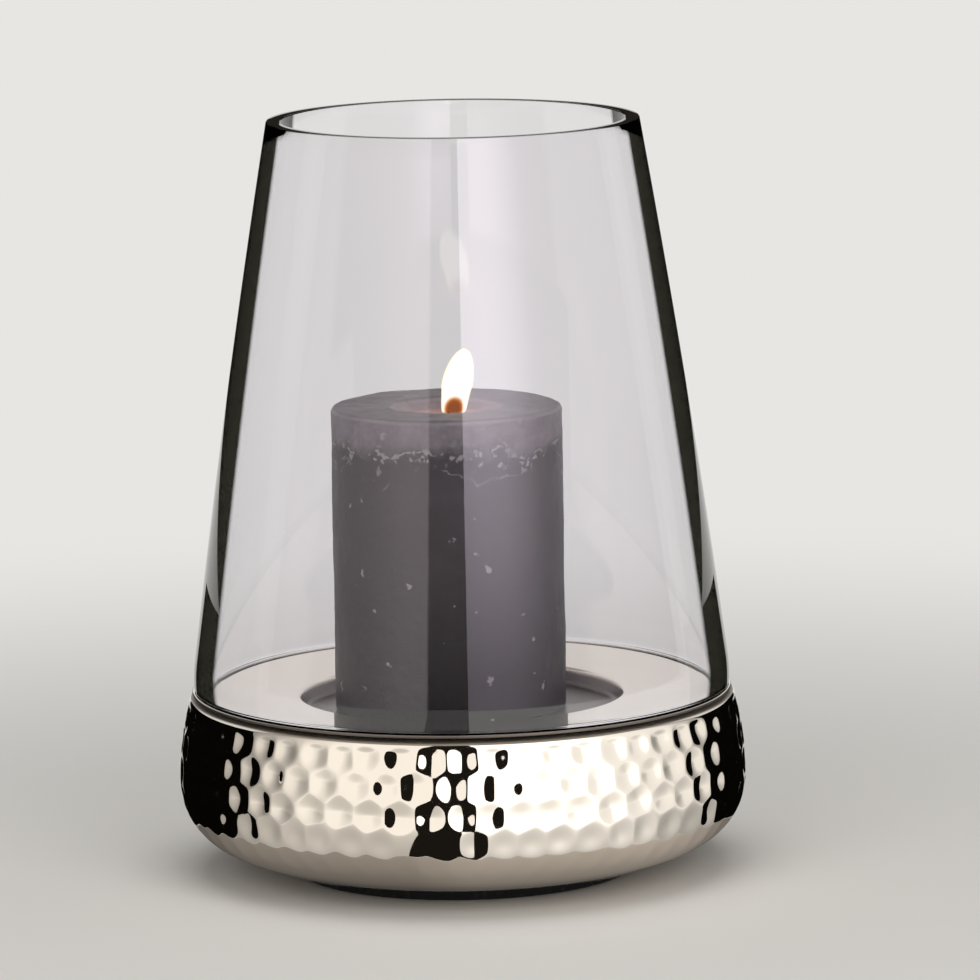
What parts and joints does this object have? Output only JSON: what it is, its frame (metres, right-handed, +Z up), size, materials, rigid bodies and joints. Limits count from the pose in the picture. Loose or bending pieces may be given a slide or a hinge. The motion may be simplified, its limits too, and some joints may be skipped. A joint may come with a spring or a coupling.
{
  "type": "hurricane candle holder",
  "caption": "Squat hammered metal bowl with a polished candle tray, a pillar candle and a tapered clear glass chimney that lifts off.",
  "frame": {"origin": "on the table under the middle of the bowl", "axes": "+Z up along the axis of the bowl and the chimney; -Y towards the picture's viewer; +X to the viewer's right"},
  "size_m": [0.197, 0.197, 0.2617],
  "materials": {
    "black_felt": "black pressed felt",
    "hammered_nickel": "mirror-polished nickel plate over hammered sheet metal",
    "polished_nickel": "smooth mirror-polished nickel plate",
    "clear_glass": "clear, very slightly smoky, polished",
    "grey_wax": "dark warm grey rustic wax with pale chips",
    "tinned_steel": "thin pressed tinplate",
    "charred_cotton": "braided cotton, burned black at the tip"
  },
  "bodies": {
    "base": {"felt_pad": "black_felt", "hammered_bowl": "hammered_nickel", "candle_tray": "polished_nickel"},
    "chimney": {"glass_chimney": "clear_glass"},
    "pillar": {"candle": "grey_wax", "wick_holder": "tinned_steel", "wick": "charred_cotton"}
  },
  "joints": [
    {"name": "chimney_lift", "type": "slide", "parent": "base", "child": "chimney", "axis": [0, 0, 1], "range_m": [0, 0.125]},
    {"name": "candle_lift", "type": "slide", "parent": "base", "child": "pillar", "axis": [0, 0, 1], "range_m": [0, 0.215]}
  ]
}
